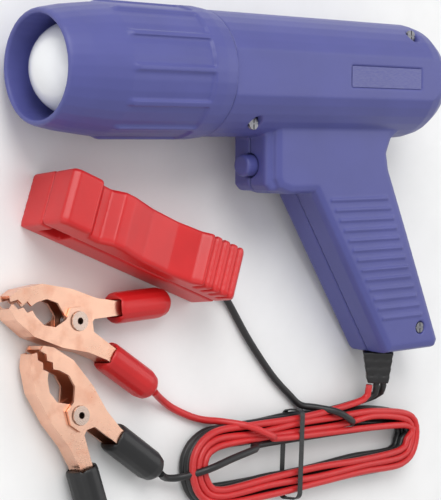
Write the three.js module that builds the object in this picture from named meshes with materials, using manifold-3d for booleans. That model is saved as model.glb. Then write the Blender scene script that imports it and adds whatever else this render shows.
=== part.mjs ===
import * as THREE from 'three';
import { mergeVertices } from 'three/addons/utils/BufferGeometryUtils.js';
import Module from 'manifold-3d';

// A pistol-grip timing light lying on its right side on a bench, with its battery clamps,
// its inductive pickup and its three leads tied in a hank. Millimetres, +Z up.

const wasm = await Module();
wasm.setup();

// Driving dimensions
const GAP = 0.3; // clearance between touching pieces
const BENCH_SHIFT = [-120.88, 89.03]; // moves the middle of the object to the origin
const RIB_RADIUS = 31; // over the ribs of the lens hood
const LIP_RADIUS = 25.7; // front lip of the hood
const BORE_RADIUS = 22.9; // inside of the hood's mouth
const HOOD_LENGTH = 91;
const RIB_COUNT = 12;
const BARREL_RADIUS = 29.8;
const PANEL_HALF = 27.8; // half the distance between the flat side panels
const BARREL_END = 252;
const WALL = 2.6; // housing wall
const GRIP_HALF = 15; // half the grip's width
const GRIP_BOTTOM = -142.5;
const BUTTON_Z = -43.5;
const RELIEF_X = 219;
const LEAD_RADIUS = 2;

const COLOURS = {
  plastic: [0x5a5ca4, 0.42, 0],
  dark: [0x202124, 0.6, 0],
  clear: [0xf2f4f6, 0.2, 0],
  mirror: [0xd8dade, 0.15, 1],
  steel: [0x9a9ca0, 0.3, 1],
  board: [0x2e6b3c, 0.6, 0],
  copper: [0xd89a78, 0.35, 1],
  red: [0xc8201f, 0.4, 0],
  black: [0x141416, 0.5, 0],
};

const group = new THREE.Group();

// Solids
function solid(geometry) {
  const bare = geometry.clone();
  bare.deleteAttribute('normal');
  bare.deleteAttribute('uv');
  const merged = mergeVertices(bare.index ? bare.toNonIndexed() : bare, 1e-4);
  const triVerts = new Uint32Array(merged.index.array);
  const vertProperties = new Float32Array(merged.attributes.position.array);
  return new wasm.Manifold(new wasm.Mesh({ numProp: 3, vertProperties, triVerts }));
}

function geometryOf(body) {
  const mesh = body.getMesh();
  const geometry = new THREE.BufferGeometry();
  geometry.setAttribute('position', new THREE.BufferAttribute(new Float32Array(mesh.vertProperties), 3));
  geometry.setIndex(new THREE.BufferAttribute(new Uint32Array(mesh.triVerts), 1));
  return geometry;
}

function add(parent, name, geometry, finish) {
  const [color, roughness, metalness] = COLOURS[finish];
  const material = new THREE.MeshStandardMaterial({ color, roughness, metalness });
  const mesh = new THREE.Mesh(geometry, material);
  mesh.name = name;
  parent.add(mesh);
  return mesh;
}

function box(x0, x1, y0, y1, z0, z1) {
  const geometry = new THREE.BoxGeometry(x1 - x0, y1 - y0, z1 - z0);
  return geometry.translate((x0 + x1) / 2, (y0 + y1) / 2, (z0 + z1) / 2);
}

// A closed [x, radius] profile turned about the X axis.
function turned(profile, sides = 28) {
  const points = profile.map(([x, radius]) => new THREE.Vector2(radius, x));
  if (THREE.ShapeUtils.area(points) < 0) {
    points.reverse();
  }
  if (profile[0][1] > 0) {
    points.push(points[0].clone());
  }
  return new THREE.LatheGeometry(points, sides).rotateZ(-Math.PI / 2);
}

function outline(points) {
  return new THREE.Shape(points.map(([x, y]) => new THREE.Vector2(x, y)));
}

// A flat outline in X and Z, made half thick each way in Y, with rounded edges.
function sideways(shape, half, round = 0) {
  const geometry = new THREE.ExtrudeGeometry(shape, {
    depth: 2 * (half - round),
    curveSegments: 6,
    bevelEnabled: round > 0,
    bevelThickness: round,
    bevelSize: round,
    bevelOffset: -round,
    bevelSegments: 2,
  });
  return geometry.translate(0, 0, round - half).rotateX(Math.PI / 2);
}

function rod(radius, length, sides = 16) {
  return new THREE.CylinderGeometry(radius, radius, length, sides);
}

// The gun is modelled upright, muzzle at X 0 and barrel along +X, then laid on its right side.
const gun = new THREE.Group();
const gripReach = Math.hypot(GRIP_BOTTOM, GRIP_HALF);
const lean = Math.asin(RIB_RADIUS / gripReach) - Math.atan2(GRIP_HALF, -GRIP_BOTTOM);
gun.rotation.x = lean - Math.PI / 2;
gun.position.set(BENCH_SHIFT[0], BENCH_SHIFT[1], RIB_RADIUS + 0.1);
group.add(gun);

// Lens hood: a tapered tube with thin ribs and a raised collar.
function lensHood() {
  let hood = solid(turned([
    [0.8, BORE_RADIUS], [0, BORE_RADIUS + 1], [0.4, LIP_RADIUS - 0.6], [2, LIP_RADIUS], [12, 27.6],
    [27, 29.4], [31, 29.8], [76.5, 29.8], [77, RIB_RADIUS], [84, RIB_RADIUS], [HOOD_LENGTH, 30.2],
    [HOOD_LENGTH, 25.2], [28, 25.2], [28, BORE_RADIUS],
  ], 36));
  for (let i = 0; i < RIB_COUNT; i += 1) {
    const rib = outline([[26, 28], [33, RIB_RADIUS], [78, RIB_RADIUS], [78, 28]]);
    const bar = sideways(rib, 1.3).rotateX((i * 2 * Math.PI) / RIB_COUNT);
    hood = hood.add(solid(bar));
  }
  return geometryOf(hood);
}
add(gun, 'lens_hood', lensHood(), 'plastic');

// Domed lens, a shell with a flange.
const domeOuter = solid(turned([[44, 0], [22.4, 21.6], [17, 20.9], [10, 17.7], [4, 11.4], [0.9, 0]], 24));
const domeShell = domeOuter
  .subtract(solid(turned([[50, 0], [50, 19.2], [22.4, 19.2], [17, 18.3], [10, 14.6], [3.4, 0]], 24)))
  .intersect(solid(turned([[0, 0], [0, 30], [26, 30], [26, 0]])))
  .add(solid(turned([[23, 19], [23, 22.5], [26.4, 22.5], [26.4, 19]], 24)));
add(gun, 'lens', geometryOf(domeShell), 'clear');

add(gun, 'reflector', turned([
  [29, 23.8], [34, 20.5], [42, 14], [48, 6], [50, 4], [52, 4], [50, 8], [44, 15.6], [36, 22], [30.5, 24.8], [29, 24.8],
], 24), 'mirror');
add(gun, 'flash_tube', new THREE.CapsuleGeometry(2.4, 30, 3, 10).rotateZ(Math.PI / 2).translate(48, 0, 0), 'clear');
add(gun, 'tube_holder', turned([[54, 3], [54, 20], [60, 20], [60, 3]], 20), 'dark');

// Housing: barrel, trigger block and grip, cut into two shells at Y 0.
const gripOutline = outline([
  [129, -15], [129, -50], [132, -55], [140, -57.5], [156.6, -57.5], [211, GRIP_BOTTOM], [249.5, GRIP_BOTTOM],
  [251.6, -138], [226, -78.7], [211.5, -46], [210, -38], [213, -31], [222, -25], [234, -15],
]);
const gripCavity = outline([
  [132, -10], [132, -48], [142, -54], [158.5, -54], [213, -139], [247, -139], [223, -80], [207, -44], [206, -36], [226, -10],
]);
const blockOutline = outline([[125.5, -20], [125.5, -53], [128.5, -56], [141, -56], [141, -20]]);
const outer = solid(turned([
  [78, 0], [78, 24.8], [HOOD_LENGTH + GAP, 24.8], [HOOD_LENGTH + GAP, BARREL_RADIUS], [229, BARREL_RADIUS],
  [236, 28.4], [243, 24.5], [248.5, 18], [BARREL_END - 0.6, 10], [BARREL_END, 0],
], 36))
  .intersect(solid(box(70, 260, -PANEL_HALF, PANEL_HALF, -40, 40)))
  .add(solid(sideways(gripOutline, GRIP_HALF, 4)))
  .add(solid(sideways(blockOutline, 12, 2)));
const cavity = solid(turned([[70, 0], [70, 22.4], [HOOD_LENGTH + 4, 22.4], [HOOD_LENGTH + 6, 26.8], [228, 26.8], [244, 14], [246, 0]]))
  .intersect(solid(box(60, 260, WALL - PANEL_HALF, PANEL_HALF - WALL, -40, 40)))
  .add(solid(sideways(gripCavity, GRIP_HALF - WALL)))
  .add(solid(box(128, 145, -9, 9, -53, -20)));
const buttonHole = solid(rod(5.9, 30).rotateZ(Math.PI / 2).translate(128, 0, BUTTON_Z));
const reliefHole = solid(box(RELIEF_X - 5, RELIEF_X + 5, -5, 5, -150, -130));
let housing = outer.subtract(cavity).subtract(buttonHole).subtract(reliefHole);

// Screws sit in the left shell: [name, x, z].
const SCREWS = [['grip_screw', 236, -130.5], ['rear_screw', 222, 22.5], ['front_screw', 112, -23.5]];
const screwDepth = { grip_screw: GRIP_HALF, rear_screw: 19, front_screw: 18 };
for (const [name, x, z] of SCREWS) {
  const well = rod(3.6, 20, 12).translate(x, -screwDepth[name] + 2 - 10, z);
  housing = housing.subtract(solid(well));
}
// Blank badge recess and grip ridges on both sides.
housing = housing.subtract(solid(box(168, 220, -40, 1 - PANEL_HALF, -5.5, 5.5)));
const RIDGES = 13;
for (let i = 0; i < RIDGES; i += 1) {
  const z = -61 - i * 5.2;
  const start = 167 + (-61 - z) * 0.62;
  const end = 209 + (-61 - z) * 0.44;
  const ridge = rod(0.9, end - start, 6).rotateZ(Math.PI / 2).translate((start + end) / 2, -GRIP_HALF, z);
  housing = housing.add(solid(ridge));
}
const leftHalf = solid(box(0, 300, -60, -GAP / 2, -200, 60));
const rightHalf = solid(box(0, 300, GAP / 2, 60, -200, 60));
add(gun, 'left_housing', geometryOf(housing.intersect(leftHalf)), 'plastic');
add(gun, 'right_housing', geometryOf(housing.intersect(rightHalf)), 'plastic');
add(gun, 'blank_badge', box(168.4, 219.6, 0.2 - PANEL_HALF, 0.7 - PANEL_HALF, -5.1, 5.1), 'plastic');

for (const [name, x, z] of SCREWS) {
  const y = -screwDepth[name] + 1.2;
  const head = solid(rod(2.9, 1.4, 12).translate(x, y, z));
  const slot = box(x - 3, x + 3, y - 2, y - 0.2, z - 0.35, z + 0.35);
  const cross = box(x - 0.35, x + 0.35, y - 2, y - 0.2, z - 3, z + 3);
  add(gun, name, geometryOf(head.subtract(solid(slot)).subtract(solid(cross))), 'steel');
}

// Works inside the barrel and grip.
add(gun, 'circuit_board', box(100, 200, -21, 21, -14, -12.4), 'board');
add(gun, 'storage_capacitor', rod(9, 34).rotateZ(Math.PI / 2).translate(122, 0, -2.5), 'dark');
add(gun, 'inverter_transformer', box(150, 170, -9, 9, -12, 6), 'copper');
add(gun, 'trigger_coil', rod(5, 16, 20).rotateZ(Math.PI / 2).translate(188, 0, -6.8), 'dark');
add(gun, 'trigger_switch', box(136, 143, -5, 5, BUTTON_Z - 6, BUTTON_Z + 6), 'dark');
add(gun, 'button_spring', turned([[127, 2.6], [127, 3.6], [135.6, 3.6], [135.6, 2.6]], 12)
  .translate(0, 0, BUTTON_Z), 'steel');
add(gun, 'trigger_button', turned([
  [119.6, 0], [119.6, 4.6], [120.4, 5.4], [129.2, 5.4], [129.2, 7.2], [131.2, 7.2], [131.2, 3.9], [123, 3.9], [123, 0],
], 20).translate(0, 0, BUTTON_Z), 'plastic');

// Strain relief: a stem inside the grip and four square ribs turned corner outwards.
function strainRelief() {
  let body = solid(box(RELIEF_X - 4.6, RELIEF_X + 4.6, -4.6, 4.6, -158, -135));
  for (let i = 0; i < 4; i += 1) {
    const top = 11.5 - i * 0.9;
    const rib = new THREE.CylinderGeometry(top, top - 1.2, 3.6, 4).rotateX(Math.PI / 2);
    body = body.add(solid(rib.translate(RELIEF_X, 0, GRIP_BOTTOM - 2.3 - i * 4.4)));
  }
  const foot = box(RELIEF_X - 6, RELIEF_X + 6, -6, 6, -138.2, -135.5);
  return geometryOf(body.add(solid(foot)));
}
add(gun, 'strain_relief', strainRelief(), 'black');

// Inductive pickup: a base with a window for the plug lead, and a slide that closes it.
const pickup = new THREE.Group();
pickup.position.set(BENCH_SHIFT[0] + 12, BENCH_SHIFT[1] - 55, 0);
pickup.rotation.z = -0.4;
group.add(pickup);
const PICKUP_LENGTH = 106;
const PICKUP_HALF = 13;
const PARTING = 17;
const baseBlock = solid(sideways(outline([
  [0, 0], [PICKUP_LENGTH, 0], [PICKUP_LENGTH, PARTING - GAP], [0, PARTING - GAP],
]), PICKUP_HALF, 1.2));
const pickupWindow = box(7, 18, -20, 20, 6, PARTING + 5);
const coilWell = box(26, 100, -7, 7, 3, 30);
const cableHole = rod(2.4, 20, 16).rotateZ(Math.PI / 2).translate(PICKUP_LENGTH - 4, 0, 7);
add(pickup, 'pickup_base', geometryOf(baseBlock.subtract(solid(pickupWindow)).subtract(solid(coilWell))
  .subtract(solid(box(7.5, 17.5, -5, 5, 2.4, 7))).subtract(solid(cableHole))), 'red');
const slideOutline = outline([
  [0, PARTING], [0, 31], [3, 33], [16, 33], [20, 27.5], [25, 27], [30, 32], [36, 32], [50, 28], [66, 27],
  [79, 29.5], [83, 33], [PICKUP_LENGTH - 3, 33], [PICKUP_LENGTH, 30], [PICKUP_LENGTH, PARTING],
]);
let slideBlock = solid(sideways(slideOutline, PICKUP_HALF, 1.8))
  .subtract(solid(box(3, 22, -5, 5, 10, 23)))
  .subtract(solid(box(28, 76, -4, 4, 10, 23)));
for (let i = 0; i < 4; i += 1) {
  const x = 84.5 + i * 5;
  const groove = solid(box(x, x + 2, -20, 20, 24, 40)).subtract(solid(box(x - 1, x + 3, 1.4 - PICKUP_HALF, PICKUP_HALF - 1.4, 20, 31.8)));
  slideBlock = slideBlock.subtract(groove);
}
add(pickup, 'pickup_slide', geometryOf(slideBlock), 'red');
add(pickup, 'lower_core', box(8, 17, -4.6, 4.6, 2.8, 5.8), 'dark');
add(pickup, 'upper_core', box(3.4, 21.6, -4.6, 4.6, PARTING + 0.5, 22.6), 'dark');
add(pickup, 'pickup_coil', rod(4.5, 20, 20).rotateZ(Math.PI / 2).translate(40, 0, 8), 'copper');
add(pickup, 'slide_spring', turned([[56, 2], [56, 3.2], [75, 3.2], [75, 2]], 16).translate(0, 0, 12), 'steel');

// Battery clamp: jaws towards local -X, hinge upright; side +1 or -1 carries the lead.
const ARM_EDGE = [
  [-36, 0.6], [-33, 2.2], [-30.5, 0.8], [-28, 2.6], [-25.5, 1], [-23, 3.4], [-18, 6], [-12, 5.5], [-7, 0.8], [-6, -4.5],
  [0, -6.8], [6, -4.5], [9, 3], [20, 6.9], [42, 14.4], [40, 21], [19, 13.8], [8, 12.6], [-6, 13.5], [-22, 12],
  [-33, 7], [-37, 3],
];
const WEB_EDGE = [
  [42, 14.4], [40, 21], [19, 13.8], [8, 12.6], [-6, 13.5], [-22, 12], [-33, 7], [-37, 3], [-35.6, 2.2],
  [-32.2, 5.6], [-21.6, 10.8], [-6, 12.2], [8, 11.3], [19, 12.5], [38.9, 19.3], [40.6, 14.1],
];
const HANDLE_TURN = 0.33;
const HANDLE_START = [18.6, 10];

function arm(side, half) {
  const flip = (points) => (side > 0 ? points : points.map(([x, y]) => [x, -y]).reverse());
  const plate = outline(flip(ARM_EDGE));
  plate.holes.push(new THREE.Path().absarc(0, 0, 3.1, 0, 2 * Math.PI, true));
  const sheet = { depth: 1.2, bevelEnabled: false, curveSegments: 6 };
  const upper = solid(new THREE.ExtrudeGeometry(plate, sheet).translate(0, 0, half - 1.2));
  const lower = solid(new THREE.ExtrudeGeometry(plate, sheet).translate(0, 0, -half));
  const web = outline(flip(WEB_EDGE));
  const back = solid(new THREE.ExtrudeGeometry(web, { depth: 2 * half, bevelEnabled: false }).translate(0, 0, -half));
  return upper.add(lower).add(back);
}

function sleeve(side) {
  const skin = new THREE.CapsuleGeometry(7.4, 24, 3, 16).rotateZ(Math.PI / 2).scale(1, 1, 1.06);
  const placed = solid(skin.translate(16.6, 0, 0));
  const cut = solid(box(3, 60, -20, 20, -20, 20));
  const tongueRoom = solid(box(-5, 26.5, -3.9, 3.9, -6.3, 6.3));
  return geometryOf(placed.intersect(cut).subtract(tongueRoom))
    .rotateZ(HANDLE_TURN * side).translate(HANDLE_START[0], HANDLE_START[1] * side, 0);
}

function clamp(prefix, x, y, angle, side, finish) {
  const holder = new THREE.Group();
  holder.position.set(BENCH_SHIFT[0] + x, BENCH_SHIFT[1] + y, 8);
  holder.rotation.z = angle;
  group.add(holder);
  add(holder, `${prefix}_fixed_arm`, geometryOf(arm(side, 6)), 'copper');
  add(holder, `${prefix}_moving_arm`, geometryOf(arm(-side, 4.5)), 'copper');
  add(holder, `${prefix}_pivot_rivet`, turned([
    [-6.9, 1.6], [-6.9, 4.4], [-6.3, 4.6], [-6.3, 2.8], [6.3, 2.8], [6.3, 4.6], [6.9, 4.4], [6.9, 1.6],
  ], 14).rotateY(Math.PI / 2), 'steel');
  add(holder, `${prefix}_torsion_spring`, turned([[-3, 3.2], [-3, 4.6], [3, 4.6], [3, 3.2]], 14)
    .rotateY(Math.PI / 2), 'steel');
  add(holder, `${prefix}_lead_sleeve`, sleeve(side), finish);
  add(holder, `${prefix}_free_sleeve`, sleeve(-side), finish);
}
clamp('red_clamp', 26, -111, -0.3, -1, 'red');
clamp('black_clamp', 23, -153, -1.0, 1, 'black');

// Free leads: bare routes on the bench, then one hank.
function lead(name, route, finish) {
  const points = route.map(([x, y, z]) => new THREE.Vector3(x + BENCH_SHIFT[0], y + BENCH_SHIFT[1], z));
  const path = new THREE.CatmullRomCurve3(points, false, 'centripetal');
  const section = new THREE.Shape().absarc(0, 0, LEAD_RADIUS, 0, 2 * Math.PI, false);
  const steps = Math.min(40, Math.round(path.getLength() / 8));
  const geometry = new THREE.ExtrudeGeometry(section, { steps, curveSegments: 4, extrudePath: path, bevelEnabled: false });
  add(group, name, geometry, finish);
}
const HANK = { x: 170, y: -189, half: 66, radius: 21, height: 13 };
function hankBlock() {
  const shape = new THREE.Shape();
  shape.absarc(HANK.half, 0, HANK.radius, -Math.PI / 2, Math.PI / 2, false);
  shape.absarc(-HANK.half, 0, HANK.radius, Math.PI / 2, 1.5 * Math.PI, false);
  const block = new THREE.ExtrudeGeometry(shape, { depth: HANK.height, bevelEnabled: false, curveSegments: 6 });
  return block.translate(HANK.x + BENCH_SHIFT[0], HANK.y + BENCH_SHIFT[1], 0.1);
}
add(group, 'lead_hank', hankBlock(), 'black');

const LIE = LEAD_RADIUS + 0.5; // height of a lead's middle where it lies on the bench
lead('red_lead_gun', [[213.5, -159.6, 12], [213, -163, 11.4], [210.5, -166.4, 9]], 'red');
lead('black_lead_gun', [[219, -159.6, 12], [219, -163, 11.4], [217.5, -166.4, 9]], 'black');
lead('pickup_lead_gun', [[224.5, -159.6, 12], [225, -163, 11.4], [225.5, -166.4, 9]], 'black');
lead('red_lead_clamp', [
  [70.8, -148, 8], [76, -151.5, 5.4], [85, -157, LIE], [96, -162.5, LIE], [105, -165.4, LIE],
], 'red');
lead('black_lead_clamp', [[71, -186.5, 8], [76, -189.2, 5.4], [81.6, -191, 3.8]], 'black');
lead('pickup_lead_cable', [
  [110.2, -96.5, 7], [116, -99.2, 6], [126, -109, LIE], [138, -129, LIE], [152, -148, LIE],
  [164, -160, LIE], [171, -165.8, LIE],
], 'black');

export default group;
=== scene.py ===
"""A pistol-grip timing light on a bench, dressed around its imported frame."""

from __future__ import annotations

import logging
import math
from dataclasses import dataclass, field
from enum import Enum
from typing import Iterable, Sequence

import bmesh
import bpy
from mathutils import Matrix, Vector


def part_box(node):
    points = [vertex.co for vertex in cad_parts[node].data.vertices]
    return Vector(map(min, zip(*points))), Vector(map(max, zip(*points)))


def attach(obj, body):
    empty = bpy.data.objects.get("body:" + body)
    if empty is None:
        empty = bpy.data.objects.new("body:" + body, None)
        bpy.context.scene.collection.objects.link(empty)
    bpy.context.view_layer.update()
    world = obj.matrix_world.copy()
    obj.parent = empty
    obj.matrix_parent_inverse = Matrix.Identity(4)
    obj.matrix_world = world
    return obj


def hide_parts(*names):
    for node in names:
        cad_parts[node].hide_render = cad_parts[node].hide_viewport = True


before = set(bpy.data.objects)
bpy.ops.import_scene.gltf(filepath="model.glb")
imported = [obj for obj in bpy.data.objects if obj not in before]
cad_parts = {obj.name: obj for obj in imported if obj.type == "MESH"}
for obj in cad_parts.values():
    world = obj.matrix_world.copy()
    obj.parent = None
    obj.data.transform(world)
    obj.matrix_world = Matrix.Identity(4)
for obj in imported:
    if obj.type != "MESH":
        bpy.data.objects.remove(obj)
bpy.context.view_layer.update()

log = logging.getLogger("timing_light")
MM = 0.001
BENCH_SHIFT = (-120.88, 89.03)  # the bench plan's middle is the frame's origin

SPLINE_STEP = 0.003  # spacing of the points along a lead, in metres
ROUND_CURVE = 3  # bevel resolution that makes a cord or wire round

Point = tuple[float, float, float]

# What every finish shares. Noise scales are in cycles a metre. A band is the range that remap reads.
PATCH_SCALE, PATCH_DETAIL = 38.0, 5.0
PATCH_BAND = (0.35, 0.65)
GRAIN_DETAIL = 3.0
GRAIN_BAND, GRAIN_TINT = (0.3, 0.7), 0.25
SCRATCH_SCALE, SCRATCH_DETAIL, SCRATCH_STRETCH = 420.0, 6.0, (1, 7, 2)
SCRATCH_BAND, SCRATCH_FLOOR = (0.4, 0.6), 0.2
SCRATCH_GLOSS, SCRATCH_RELIEF = 0.1, 0.25
BLOTCH_SCALE, BLOTCH_DETAIL = 95.0, 6.0
BLOTCH_BAND, BLOTCH_STRENGTH = (0.52, 0.66), 0.75
EDGE_BAND = (0.52, 0.6)  # pointiness from a flat face to a worn edge
DARKEST, LIGHTEST = 2.2, 1.6  # how far mottling takes the colour down and up
WORN_SHARE, WORN_LIFT = 0.55, 0.2  # a worn edge's colour, paler and greyer
NOISE_MIDDLE = 0.5


class Lead(Enum):
    """The three leads tied in the hank."""

    RED = "red_lead"
    BLACK = "black_lead"
    PICKUP = "pickup_lead"


class Axis(Enum):
    """The frame's axis that a spring is wound round, by its place in a vector."""

    X = 0
    Z = 2


class Socket:
    """A node's output that can be used in Python sums."""

    def __init__(self, shader: "Shader", link: bpy.types.NodeSocket) -> None:
        """Keeps the shader that the output belongs to."""
        self.shader = shader
        self.link = link

    def _maths(self, operation: str, first: object, second: object) -> "Socket":
        """Adds one Math node.

        Args:
            operation: the node's operation.
            first: a Socket or a number.
            second: a Socket or a number.

        Returns:
            The node's value.
        """
        return self.shader.node("ShaderNodeMath", {"operation": operation}, {0: first, 1: second})

    def __add__(self, other: object) -> "Socket":
        """Sum."""
        return self._maths("ADD", self, other)

    __radd__ = __add__

    def __mul__(self, other: object) -> "Socket":
        """Product."""
        return self._maths("MULTIPLY", self, other)

    __rmul__ = __mul__

    def __sub__(self, other: object) -> "Socket":
        """Difference."""
        return self._maths("SUBTRACT", self, other)

    def __rsub__(self, other: object) -> "Socket":
        """Difference the other way round."""
        return self._maths("SUBTRACT", other, self)


class Shader:
    """A material's node tree."""

    def __init__(self, name: str) -> None:
        """Starts a material with one Principled shader.

        Args:
            name: the material's name.
        """
        self.material = bpy.data.materials.new(name)
        self.material.use_nodes = True
        self.tree = self.material.node_tree
        self.surface = self.tree.nodes["Principled BSDF"]
        self.place = self.node("ShaderNodeTexCoord", {}, {}, "Object")

    def node(self, kind: str, settings: dict, inputs: dict, output: object = 0) -> Socket:
        """Adds a node.

        Args:
            kind: the node's type.
            settings: its properties, set first.
            inputs: values or Sockets by input name or number.
            output: which output to return.

        Returns:
            The output as a Socket.
        """
        made = self.tree.nodes.new(kind)
        for key, value in settings.items():
            setattr(made, key, value)
        for key, value in inputs.items():
            if isinstance(value, Socket):
                self.tree.links.new(value.link, made.inputs[key])
            else:
                made.inputs[key].default_value = value
        return Socket(self, made.outputs[output])

    def noise(self, scale: float, detail: float = 4.0, stretch: Point = (1, 1, 1)) -> Socket:
        """Noise over the object, in cycles a metre.

        Args:
            scale: cycles a metre.
            detail: octaves.
            stretch: how the pattern is stretched along each axis.

        Returns:
            A value near 0.5.
        """
        spot = self.node("ShaderNodeMapping", {}, {"Vector": self.place, "Scale": stretch})
        return self.node("ShaderNodeTexNoise", {}, {"Vector": spot, "Scale": scale, "Detail": detail})

    def remap(self, value: Socket, band: tuple[float, float], out_low: float, out_high: float) -> Socket:
        """Maps a band of the value to another range and clamps it."""
        inputs = {"Value": value, 1: band[0], 2: band[1], 3: out_low, 4: out_high}
        return self.node("ShaderNodeMapRange", {}, inputs)

    def mix(self, factor: object, first: object, second: object) -> Socket:
        """Mixes two colours."""
        inputs = {"Factor": factor, 6: first, 7: second}
        return self.node("ShaderNodeMix", {"data_type": "RGBA"}, inputs, 2)

    def feed(self, name: str, value: object) -> None:
        """Links or sets one of the surface's sockets.

        Args:
            name: the socket's name.
            value: a Socket to link, or the value to set.
        """
        target = self.surface.inputs[name]
        if isinstance(value, Socket):
            self.tree.links.new(value.link, target)
        else:
            target.default_value = value

    def bump(self, height: Socket, depth: float) -> None:
        """Adds relief of that depth in metres."""
        inputs = {"Height": height, "Distance": depth, "Strength": 1.0}
        self.feed("Normal", self.node("ShaderNodeBump", {}, inputs))


@dataclass(frozen=True)
class Finish:
    """A finish with grain, mottling, worn edges and uneven gloss.

    Sizes are cycles a metre for the grain and metres for its depth.
    """

    name: str
    colour: Point
    roughness: float
    metallic: float = 0.0
    grain: float = 2600.0
    depth: float = 0.00006
    mottle: float = 0.06
    gloss_spread: float = 0.08
    wear: float = 0.25
    coat: float = 0.0
    stretch: Point = (1, 1, 1)
    second: Point | None = None

    def build(self) -> bpy.types.Material:
        """Makes the material.

        Returns:
            The material.
        """
        shader = Shader(self.name)
        patches = shader.noise(PATCH_SCALE, PATCH_DETAIL)
        grain = shader.noise(self.grain, GRAIN_DETAIL, self.stretch)
        scratches = shader.noise(SCRATCH_SCALE, SCRATCH_DETAIL, SCRATCH_STRETCH)
        darker = tuple(c * (1 - DARKEST * self.mottle) for c in self.colour) + (1,)
        lighter = tuple(min(1, c * (1 + LIGHTEST * self.mottle)) for c in self.colour) + (1,)
        colour = shader.mix(shader.remap(patches, PATCH_BAND, 0, 1), darker, lighter)
        colour = shader.mix(shader.remap(grain, GRAIN_BAND, 0, GRAIN_TINT), colour, lighter)
        if self.second is not None:
            blotches = shader.noise(BLOTCH_SCALE, BLOTCH_DETAIL)
            blotch = shader.remap(blotches, BLOTCH_BAND, 0, BLOTCH_STRENGTH)
            colour = shader.mix(blotch, colour, self.second + (1,))
        geometry = shader.node("ShaderNodeNewGeometry", {}, {}, "Pointiness")
        edge = shader.remap(geometry, EDGE_BAND, 0, self.wear)
        worn = edge * shader.remap(scratches, SCRATCH_BAND, SCRATCH_FLOOR, 1)
        pale = tuple(min(1, WORN_SHARE * c + WORN_LIFT) for c in self.colour) + (1,)
        shader.feed("Base Color", shader.mix(worn, colour, pale))
        gloss = self.roughness + self.gloss_spread * (patches - NOISE_MIDDLE)
        shader.feed("Roughness", gloss + SCRATCH_GLOSS * (scratches - NOISE_MIDDLE))
        shader.feed("Metallic", self.metallic)
        if self.coat:
            shader.feed("Coat Weight", self.coat)
        shader.bump(grain + SCRATCH_RELIEF * scratches, self.depth)
        return shader.material


VIOLET = Finish("violet_plastic", (0.078, 0.084, 0.29), 0.42, grain=3400, depth=0.00005, mottle=0.03)
RED_PLASTIC = Finish("red_plastic", (0.6, 0.014, 0.016), 0.34, depth=0.00003, mottle=0.04)
RED_RUBBER = Finish("red_rubber", (0.58, 0.012, 0.014), 0.38, grain=1800, mottle=0.05)
BLACK_RUBBER = Finish("black_rubber", (0.012, 0.012, 0.013), 0.42, grain=2000, mottle=0.1, wear=0.1)
BLACK_PLASTIC = Finish("black_plastic", (0.02, 0.02, 0.022), 0.5, wear=0.1)
COPPER = Finish("copper_plate", (0.92, 0.55, 0.4), 0.3, 1.0, 900, 0.00003, 0.06, 0.12, 0.3,
                stretch=(1, 6, 1), second=(0.8, 0.4, 0.27))
RIVET = Finish("rivet_steel", (0.66, 0.5, 0.42), 0.28, 1.0, 1500, 0.00002, 0.1)
STEEL = Finish("screw_steel", (0.2, 0.2, 0.22), 0.36, 1.0, 1800, 0.00003, 0.1)
SPRING = Finish("spring_steel", (0.5, 0.5, 0.52), 0.25, 1.0, 2200, 0.00002, 0.1)
BOARD = Finish("board_green", (0.03, 0.16, 0.05), 0.4, second=(0.4, 0.22, 0.06))
WINDING = Finish("winding_copper", (0.62, 0.24, 0.1), 0.35, 1.0, 1600, 0.0002, stretch=(8, 1, 1))
FERRITE = Finish("ferrite", (0.05, 0.05, 0.052), 0.6, grain=5000, depth=0.0001)
LENS = Finish("frosted_lens", (0.84, 0.85, 0.87), 0.12, grain=900, depth=0.00001, mottle=0.02,
              wear=0.0, coat=0.6)
MIRROR = Finish("bright_reflector", (0.86, 0.87, 0.89), 0.1, 1.0, 500, 0.00002)
FLOOR = Finish("bench_top", (0.86, 0.86, 0.86), 0.6, grain=300, depth=0.00002, mottle=0.01, wear=0.0)

# Which CAD nodes each finish dresses.
DRESS: dict[Finish, tuple[str, ...]] = {
    VIOLET: ("left_housing", "right_housing", "lens_hood", "trigger_button", "blank_badge"),
    BLACK_PLASTIC: ("tube_holder", "storage_capacitor", "trigger_coil", "trigger_switch"),
    BLACK_RUBBER: ("strain_relief", "black_clamp_lead_sleeve", "black_clamp_free_sleeve"),
    RED_RUBBER: ("red_clamp_lead_sleeve", "red_clamp_free_sleeve"),
    RED_PLASTIC: ("pickup_base", "pickup_slide"),
    COPPER: tuple(f"{c}_clamp_{a}_arm" for c in ("red", "black") for a in ("fixed", "moving")),
    RIVET: ("red_clamp_pivot_rivet", "black_clamp_pivot_rivet"),
    STEEL: ("grip_screw", "rear_screw", "front_screw"),
    WINDING: ("inverter_transformer", "pickup_coil"),
    BOARD: ("circuit_board",),
    FERRITE: ("lower_core", "upper_core"),
    LENS: ("flash_tube",),
    MIRROR: ("reflector",),
}


def bench(points: Iterable[Sequence[float]]) -> list[Vector]:
    """Turns bench plan points in millimetres into frame points in metres."""
    shift = Vector((*BENCH_SHIFT, 0))
    return [(Vector(p) + shift) * MM for p in points]


def smooth_line(points: Sequence[Vector], step: float) -> list[Vector]:
    """Runs a rounded line through the points.

    Args:
        points: the points it passes.
        step: the spacing of the result, in metres.

    Returns:
        Points along the line.
    """
    line: list[Vector] = []
    padded = [2 * points[0] - points[1], *points, 2 * points[-1] - points[-2]]
    for a, b, c, d in zip(padded, padded[1:], padded[2:], padded[3:]):
        count = max(2, round((c - b).length / step))
        for i in range(count):
            t = i / count
            line.append(0.5 * (2 * b + (c - a) * t + (2 * a - 5 * b + 4 * c - d) * t * t
                               + (3 * b - a - 3 * c + d) * t * t * t))
    line.append(points[-1])
    return line


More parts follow.
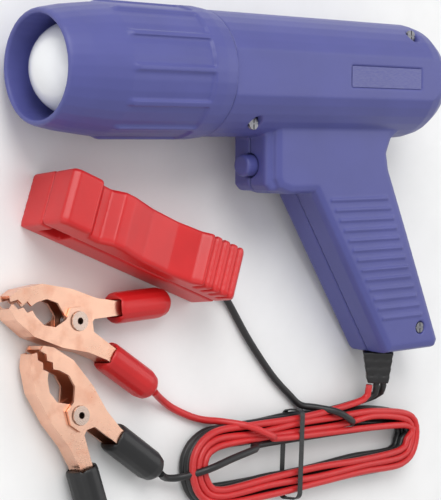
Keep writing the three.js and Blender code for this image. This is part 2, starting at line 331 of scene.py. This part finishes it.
def new_object(name: str, data: bpy.types.Mesh | bpy.types.Curve, finish: bpy.types.Material,
               body: str) -> bpy.types.Object:
    """Links a piece, dresses it and makes it ride on a body.

    Args:
        name: the piece's name.
        data: its mesh or curve.
        finish: its material.
        body: the body that it rides on.

    Returns:
        The piece.
    """
    piece = bpy.data.objects.new(name, data)
    bpy.context.scene.collection.objects.link(piece)
    data.materials.append(finish)
    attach(piece, body)
    log.info("%s rides on %s", name, body)
    return piece


def tube(name: str, line: Sequence[Sequence[float]], diameter: float) -> bpy.types.Curve:
    """Makes a round closed tube along points.

    Args:
        name: the curve's name.
        line: the points, in metres.
        diameter: the tube's diameter, in millimetres.

    Returns:
        The curve.
    """
    curve = bpy.data.curves.new(name, "CURVE")
    curve.dimensions = "3D"
    curve.bevel_depth = diameter / 2 * MM
    curve.bevel_resolution = ROUND_CURVE
    curve.use_fill_caps = True
    spline = curve.splines.new("POLY")
    spline.points.add(len(line) - 1)
    for knot, spot in zip(spline.points, line):
        knot.co = (*spot, 1)
    return curve


def closed_mesh(name: str, work: bmesh.types.BMesh) -> bpy.types.Mesh:
    """Turns a finished bmesh into a mesh with its faces pointing out.

    Args:
        name: the mesh's name.
        work: the bmesh, which is freed.

    Returns:
        The mesh.
    """
    bmesh.ops.recalc_face_normals(work, faces=work.faces)
    mesh = bpy.data.meshes.new(name)
    work.to_mesh(mesh)
    work.free()
    return mesh


@dataclass(frozen=True)
class Lamp:
    """A square soft light, with its place and side in metres and its power in watts."""

    name: str
    spot: Point
    side: float
    power: float

    def build(self) -> None:
        """Makes the light, aimed at the object."""
        data = bpy.data.lights.new(self.name, "AREA")
        data.size = self.side
        data.energy = self.power
        lamp = bpy.data.objects.new(self.name, data)
        lamp.location = self.spot
        lamp.rotation_euler = (-Vector(self.spot)).to_track_quat("-Z", "Y").to_euler()
        bpy.context.scene.collection.objects.link(lamp)


@dataclass
class Studio:
    """The camera, floor and lights."""

    eye: Point = (-0.4918, -0.0025, 0.5601)
    right: Point = (0.7467, -0.0734, 0.6611)
    up: Point = (0.0474, 0.9972, 0.0572)
    focal: float = 122.4
    sensor: float = 36.0
    floor_side: float = 6.0
    surroundings: float = 0.6
    lamps: tuple[Lamp, ...] = (
        Lamp("key", (-0.5, 1.1, 1.3), 1.1, 17),
        Lamp("fill", (-1.3, -0.4, 0.9), 1.4, 4),
        Lamp("rim", (1.2, 0.2, 1.0), 1.0, 4),
    )

    def camera(self) -> None:
        """Makes the camera."""
        data = bpy.data.cameras.new("camera")
        data.sensor_fit = "HORIZONTAL"
        data.sensor_width = self.sensor
        data.lens = self.focal
        camera = bpy.data.objects.new("camera", data)
        right, up = Vector(self.right), Vector(self.up)
        turn = Matrix((right, up, right.cross(up))).transposed()
        camera.matrix_world = Matrix.LocRotScale(Vector(self.eye), turn.to_quaternion(), None)
        bpy.context.scene.collection.objects.link(camera)
        bpy.context.scene.camera = camera

    def floor_and_lights(self) -> None:
        """Makes the pale floor, the soft lights and the white surroundings."""
        mesh = bpy.data.meshes.new("floor")
        half = self.floor_side / 2
        corners = [(-half, -half, 0), (half, -half, 0), (half, half, 0), (-half, half, 0)]
        mesh.from_pydata(corners, [], [(0, 1, 2, 3)])
        floor = bpy.data.objects.new("floor", mesh)
        mesh.materials.append(FLOOR.build())
        bpy.context.scene.collection.objects.link(floor)
        for lamp in self.lamps:
            lamp.build()
        world = bpy.data.worlds.new("surroundings")
        world.use_nodes = True
        glow = world.node_tree.nodes["Background"]
        glow.inputs["Color"].default_value = (1, 1, 1, 1)
        glow.inputs["Strength"].default_value = self.surroundings
        bpy.context.scene.world = world
        bpy.context.scene.view_settings.view_transform = "Standard"


@dataclass
class Hank:
    """Three leads wound in one tied hank, each from the gun to what it feeds.

    Sizes and points are in millimetres on the bench plan, and the leads' declared lengths in
    metres. A turn has two straights with a round end after each.
    """

    middle: tuple[float, float] = (170.0, -189.0)
    half: float = 64.0
    outer: float = 19.0
    pitch: float = 3.7
    turns: int = 3
    thickness: float = 3.6
    steps: int = 14  # points in a turn
    straight: float = 0.55  # the straight's share of half a turn
    entry: float = 0.75  # where a turn's first straight starts, as a share of half
    sway: float = 0.7
    sway_beat: float = 2.1
    sway_shift: float = 1.7
    tie_place: float = -12.0  # along the hank from its middle
    tie_slant: float = 0.16
    tie_reach: float = 18.6
    tie_top: float = 10.4
    tie_bottom: float = 3.4
    tie_corner: float = 3.2
    tie_corner_steps: int = 6
    tie_half_width: float = 1.6
    tie_swell: float = 0.03  # how much the band's outer face is larger than its inner one
    layers: dict[Lead, float] = field(
        default_factory=lambda: {Lead.PICKUP: 2.8, Lead.BLACK: 6.5, Lead.RED: 10.2})
    starts: dict[Lead, list[Point]] = field(default_factory=lambda: {
        Lead.RED: [(213.5, -159.6, 12), (213, -163, 11.4), (210, -167, 10.6)],
        Lead.BLACK: [(219, -159.6, 12), (219, -163, 11.4), (217, -166.8, 8.4)],
        Lead.PICKUP: [(224.5, -159.6, 12), (225, -163, 10.6), (223.5, -167, 5.5)],
    })
    ends: dict[Lead, list[Point]] = field(default_factory=lambda: {
        Lead.RED: [(150, -179.5, 12), (138, -177, 15), (124, -170.5, 13.5), (113, -167, 5),
                   (105, -165.4, 2.5), (96, -162.5, 2.5), (85, -157, 2.5), (76, -151.5, 5.4),
                   (70.8, -148, 8)],
        Lead.BLACK: [(140, -181, 9), (126, -182, 14.6), (110, -184.5, 15), (96, -187.5, 14),
                     (84, -190, 7), (76, -189.2, 5.4), (71, -186.5, 8)],
        Lead.PICKUP: [(205, -179, 6), (197, -177, 13.5), (186, -171, 14.5), (177, -167.5, 7),
                      (171, -165.8, 2.5), (164, -160, 2.5), (152, -148, 2.5), (138, -129, 2.5),
                      (126, -109, 2.5), (116, -99.2, 6), (110.2, -96.5, 7)],
    })
    lengths: dict[Lead, float] = field(
        default_factory=lambda: {Lead.RED: 1.17, Lead.BLACK: 1.16, Lead.PICKUP: 1.15})

    def wound(self, lead: Lead) -> list[Point]:
        """Winds the turns of one lead, spiralling inwards on its own layer.

        Args:
            lead: the lead.

        Returns:
            Points along its turns.
        """
        x, y = self.middle
        level = self.layers[lead]
        phase = list(Lead).index(lead)
        points: list[Point] = []
        for i in range(1, self.turns * self.steps):
            part = (i % self.steps) / self.steps
            run = part % 0.5 / 0.5
            side, start = (1, self.entry) if part < 0.5 else (-1, -1)
            radius = self.outer - self.pitch * i / self.steps
            if run < self.straight:
                along = self.half * (start - (side + start) * run / self.straight)
                sway = self.sway * math.sin(self.sway_beat * i + self.sway_shift * phase)
                points.append((x + along, y + side * radius + sway, level))
            else:
                turn = math.pi * (run - self.straight) / (1 - self.straight)
                reach = self.half + radius * math.sin(turn)
                points.append((x - side * reach, y + side * radius * math.cos(turn), level))
        return points

    def build(self, finishes: dict[Lead, bpy.types.Material]) -> None:
        """Makes the three leads and the tie round them.

        Args:
            finishes: each lead's material.
        """
        nodes = {
            Lead.RED: ("red_lead_gun", "red_lead_clamp"),
            Lead.BLACK: ("black_lead_gun", "black_lead_clamp", "lead_hank"),
            Lead.PICKUP: ("pickup_lead_gun", "pickup_lead_cable"),
        }
        for lead in Lead:
            route = bench(self.starts[lead] + self.wound(lead) + self.ends[lead])
            line = smooth_line(route, SPLINE_STEP)
            curve = tube(lead.value, line, self.thickness)
            piece = new_object(f"{lead.value}_cord", curve, finishes[lead], "root")
            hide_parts(*nodes[lead])
            measured = sum((b - a).length for a, b in zip(line, line[1:]))
            log.info("%s runs %.3f m", lead.value, measured)
        self.tie(finishes[Lead.BLACK])

    def tie(self, finish: bpy.types.Material) -> None:
        """Makes the flat tie that holds the hank together.

        Args:
            finish: its material.
        """
        x, y = self.middle
        centre = (self.tie_top + self.tie_bottom) / 2
        corners = [(self.tie_reach, self.tie_top), (-self.tie_reach, self.tie_top),
                   (-self.tie_reach, self.tie_bottom), (self.tie_reach, self.tie_bottom)]
        loop: list[tuple[float, float]] = []
        for quarter, (across, height) in enumerate(corners):
            for i in range(self.tie_corner_steps + 1):
                turn = (quarter + i / self.tie_corner_steps) * math.pi / 2
                loop.append((across + self.tie_corner * math.cos(turn),
                             height + self.tie_corner * math.sin(turn)))
        work = bmesh.new()
        rings = []
        for side in (-self.tie_half_width, self.tie_half_width):
            for size in (1.0, 1 + self.tie_swell):
                spots = [(x + self.tie_place + side + self.tie_slant * across, y + across * size,
                          centre + (height - centre) * size) for across, height in loop]
                rings.append([work.verts.new(spot) for spot in bench(spots)])
        for first, second in ((0, 1), (1, 3), (3, 2), (2, 0)):
            for i in range(len(loop)):
                j = (i + 1) % len(loop)
                work.faces.new((rings[first][i], rings[first][j], rings[second][j], rings[second][i]))
        new_object("hank_tie", closed_mesh("hank_tie", work), finish, "root")


@dataclass
class Dome:
    """The lens, a fine shell in place of the faceted one."""

    rings: int = 28
    sides: int = 96
    clearance: float = 0.8  # inside the lens's box, in millimetres
    setback: float = 0.1
    wall: float = 1.4

    def build(self, finish: bpy.types.Material) -> None:
        """Makes a dome that fits the lens's box, standing on the gun's axis.

        Args:
            finish: its material.
        """
        low, high = (Vector(c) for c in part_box("lens"))
        middle = (low + high) / 2
        radius = (high.y - low.y) / 2 - self.clearance * MM
        setback = self.setback * MM
        root_x = low.x + radius
        work = bmesh.new()
        previous: list[bmesh.types.BMVert] = []
        tip = work.verts.new((low.x + setback, middle.y, middle.z))
        for i in range(1, self.rings + 1):
            lift = i / self.rings * math.pi / 2
            x = root_x - radius * math.cos(lift) + setback
            size = radius * math.sin(lift)
            ring = []
            for k in range(self.sides):
                turn = 2 * math.pi * k / self.sides
                y, z = middle.y + size * math.cos(turn), middle.z + size * math.sin(turn)
                ring.append(work.verts.new((x, y, z)))
            for k in range(self.sides):
                j = (k + 1) % self.sides
                if previous:
                    work.faces.new((previous[k], ring[k], ring[j], previous[j]))
                else:
                    work.faces.new((tip, ring[k], ring[j]))
            previous = ring
        mesh = closed_mesh("lens_dome", work)
        mesh.polygons.foreach_set("use_smooth", [True] * len(mesh.polygons))
        dome = new_object("lens_dome", mesh, finish, "root")
        shell = dome.modifiers.new("shell", "SOLIDIFY")
        shell.thickness = self.wall * MM
        shell.offset = -1
        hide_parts("lens")


@dataclass
class Coil:
    """A wound spring in place of its plain sleeve."""

    node: str
    body: str
    axis: Axis
    turns: int
    wire: float = 0.7
    steps: int = 20  # points in a turn

    def build(self, finish: bpy.types.Material) -> None:
        """Makes the helix along the middle of the node's box, as wide as the box is across Y.

        Args:
            finish: its material.
        """
        low, high = (Vector(c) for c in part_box(self.node))
        middle = (low + high) / 2
        size = high - low
        radius = size[1] / 2 - self.wire / 2 * MM
        length = size[self.axis.value] - self.wire * MM
        count = self.turns * self.steps
        line = []
        for i in range(count + 1):
            turn = 2 * math.pi * self.turns * i / count
            offset = Vector((radius * math.cos(turn), radius * math.sin(turn), length * (i / count - 0.5)))
            if self.axis is Axis.X:
                offset = Vector((offset.z, offset.x, offset.y))
            line.append(middle + offset)
        name = self.node + "_wire"
        piece = new_object(name, tube(name, line, self.wire), finish, self.body)
        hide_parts(self.node)


@dataclass
class Casework:
    """Rounds and dresses the CAD nodes that stay. Widths are in millimetres, angles in degrees."""

    edge_width: float = 0.18
    edge_segments: int = 2
    edge_angle: float = 40.0
    soften_factor: float = 0.5
    soften_rounds: int = 6
    # Each moulded piece's voxel, in millimetres.
    moulded: dict[str, float] = field(default_factory=lambda: {
        "left_housing": 0.55, "right_housing": 0.7, "lens_hood": 0.6, "trigger_button": 0.35,
        "strain_relief": 0.5, "pickup_base": 0.6, "pickup_slide": 0.6,
        "red_clamp_lead_sleeve": 0.5, "red_clamp_free_sleeve": 0.5,
        "black_clamp_lead_sleeve": 0.5, "black_clamp_free_sleeve": 0.5,
    })

    def mould(self, node: str, voxel: float) -> None:
        """Rounds a moulded piece's edges finely.

        Args:
            node: the piece's node.
            voxel: the size of the remesh, in millimetres.
        """
        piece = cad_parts[node]
        remesh = piece.modifiers.new("mould", "REMESH")
        remesh.mode = "VOXEL"
        remesh.voxel_size = voxel * MM
        remesh.use_smooth_shade = True
        soften = piece.modifiers.new("soften", "SMOOTH")
        soften.factor = self.soften_factor
        soften.iterations = self.soften_rounds

    def break_edges(self, node: str) -> None:
        """Breaks a pressed or turned piece's edges.

        Args:
            node: the piece's node.
        """
        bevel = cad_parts[node].modifiers.new("edges", "BEVEL")
        bevel.width = self.edge_width * MM
        bevel.segments = self.edge_segments
        bevel.limit_method = "ANGLE"
        bevel.angle_limit = math.radians(self.edge_angle)

    def build(self) -> None:
        """Dresses every CAD node."""
        for finish, nodes in DRESS.items():
            material = finish.build()
            for node in nodes:
                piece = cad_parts[node]
                piece.data.materials.clear()
                piece.data.materials.append(material)
                if node in self.moulded:
                    self.mould(node, self.moulded[node])
                else:
                    self.break_edges(node)
                log.info("%s dressed in %s", node, finish.name)


def main() -> None:
    """Builds the scene in order."""
    logging.basicConfig(level=logging.INFO)
    studio = Studio()
    studio.camera()
    black = BLACK_RUBBER.build()
    red = RED_RUBBER.build()
    Hank().build({Lead.RED: red, Lead.BLACK: black, Lead.PICKUP: black})
    Dome().build(LENS.build())
    steel = SPRING.build()
    for coil in (Coil("button_spring", "root", Axis.X, 5), Coil("slide_spring", "root", Axis.X, 9),
                 Coil("red_clamp_torsion_spring", "root", Axis.Z, 5),
                 Coil("black_clamp_torsion_spring", "root", Axis.Z, 5)):
        coil.build(steel)
    Casework().build()
    studio.floor_and_lights()


if __name__ == "__main__":
    main()
